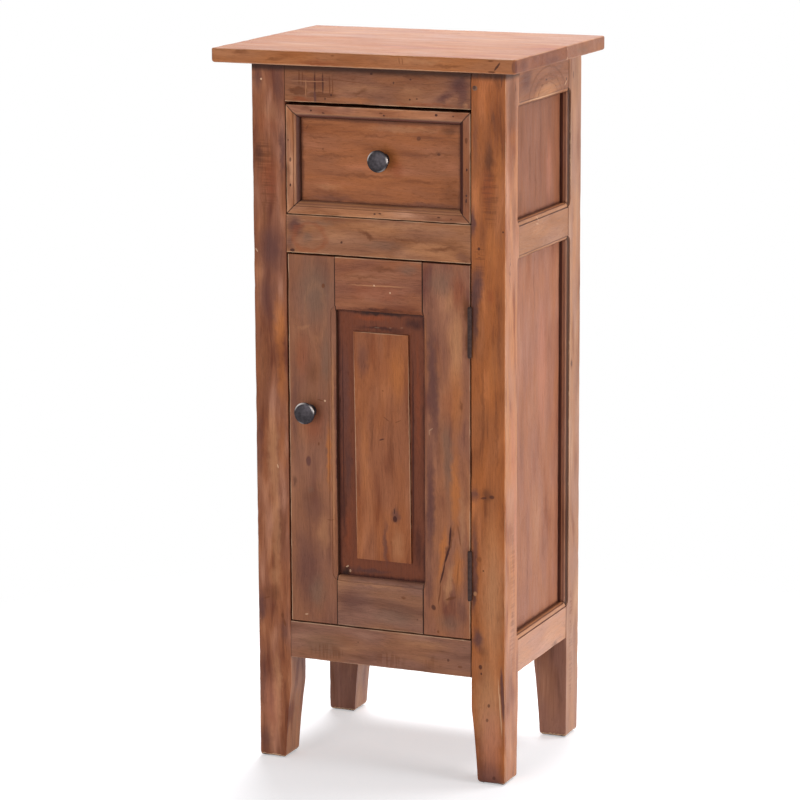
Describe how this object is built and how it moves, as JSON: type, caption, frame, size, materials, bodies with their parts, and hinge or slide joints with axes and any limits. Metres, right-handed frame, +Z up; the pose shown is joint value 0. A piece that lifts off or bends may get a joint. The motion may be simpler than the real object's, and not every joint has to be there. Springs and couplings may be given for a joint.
{
  "type": "telephone table",
  "caption": "Tall narrow reclaimed-wood telephone table: overhanging top, drawer above a framed panel door, tapered feet.",
  "frame": {"origin": "on the floor, under the middle of the top board", "axes": "+Z up, front with door and drawer towards -Y, +X to the right seen from the front"},
  "size_m": [0.395, 0.3056, 0.9],
  "materials": {
    "top_wood": "waxed satin, light reddish brown with grain along the width",
    "post_wood": "waxed satin, reddish brown with dark stains and worn edges",
    "rail_wood": "waxed satin, tan brown with grain along the rail",
    "panel_wood": "waxed satin, plain upright grain",
    "door_wood": "waxed satin, grey brown to orange brown",
    "door_panel_wood": "waxed satin, orange brown raised field in a dark red brown margin",
    "drawer_face_wood": "waxed satin, orange brown with small dark holes in the moulding",
    "inner_wood": "plain planed wood, not waxed",
    "knob_metal": "dark pewter, low gloss with worn bright rim",
    "hinge_metal": "black, low gloss",
    "screw_steel": "zinc plated steel",
    "catch_plastic": "matt brown"
  },
  "bodies": {
    "cabinet": {"back_board_1": "panel_wood", "back_board_2": "panel_wood", "back_board_3": "panel_wood", "back_bottom_rail": "rail_wood", "back_top_rail": "rail_wood", "catch_body": "catch_plastic", "cupboard_floor": "inner_wood", "drawer_runner_left": "inner_wood", "drawer_runner_right": "inner_wood", "drawer_stops": "inner_wood", "dust_panel": "inner_wood", "floor_cleats": "inner_wood", "front_bottom_rail": "rail_wood", "front_middle_rail": "rail_wood", "front_top_rail": "rail_wood", "hinge_pins": "hinge_metal", "hinge_post_screws": "screw_steel", "kicker_left": "inner_wood", "kicker_right": "inner_wood", "left_bottom_rail": "rail_wood", "left_lower_panel": "panel_wood", "left_middle_rail": "rail_wood", "left_top_rail": "rail_wood", "left_upper_panel": "panel_wood", "lower_hinge_post_leaf": "hinge_metal", "post_back_left": "post_wood", "post_back_right": "post_wood", "post_front_left": "post_wood", "post_front_right": "post_wood", "right_bottom_rail": "rail_wood", "right_lower_panel": "panel_wood", "right_middle_rail": "rail_wood", "right_top_rail": "rail_wood", "right_upper_panel": "panel_wood", "top_front_board": "top_wood", "top_rear_board": "top_wood", "top_screws": "screw_steel", "upper_hinge_post_leaf": "hinge_metal"},
    "drawer": {"drawer_back": "inner_wood", "drawer_bottom": "inner_wood", "drawer_front": "drawer_face_wood", "drawer_knob": "knob_metal", "drawer_knob_screw": "screw_steel", "drawer_moulding_bottom": "drawer_face_wood", "drawer_moulding_left": "drawer_face_wood", "drawer_moulding_right": "drawer_face_wood", "drawer_moulding_top": "drawer_face_wood", "drawer_side_left": "inner_wood", "drawer_side_right": "inner_wood"},
    "door": {"door_bottom_rail": "door_wood", "door_hinge_stile": "door_wood", "door_knob": "knob_metal", "door_knob_screw": "screw_steel", "door_latch_stile": "door_wood", "door_panel": "door_panel_wood", "door_top_rail": "door_wood", "upper_hinge_door_leaf": "hinge_metal", "lower_hinge_door_leaf": "hinge_metal", "hinge_door_screws": "screw_steel", "catch_plate": "screw_steel"}
  },
  "joints": [
    {"name": "drawer_slide", "type": "slide", "parent": "cabinet", "child": "drawer", "axis": [0, -1, 0], "range_m": [0, 0.16]},
    {"name": "door_hinge", "type": "hinge", "parent": "cabinet", "child": "door", "pos_m": [0.12125, -0.10815, 0.41425], "axis": [0, 0, 1], "range_deg": [0, 170]}
  ]
}
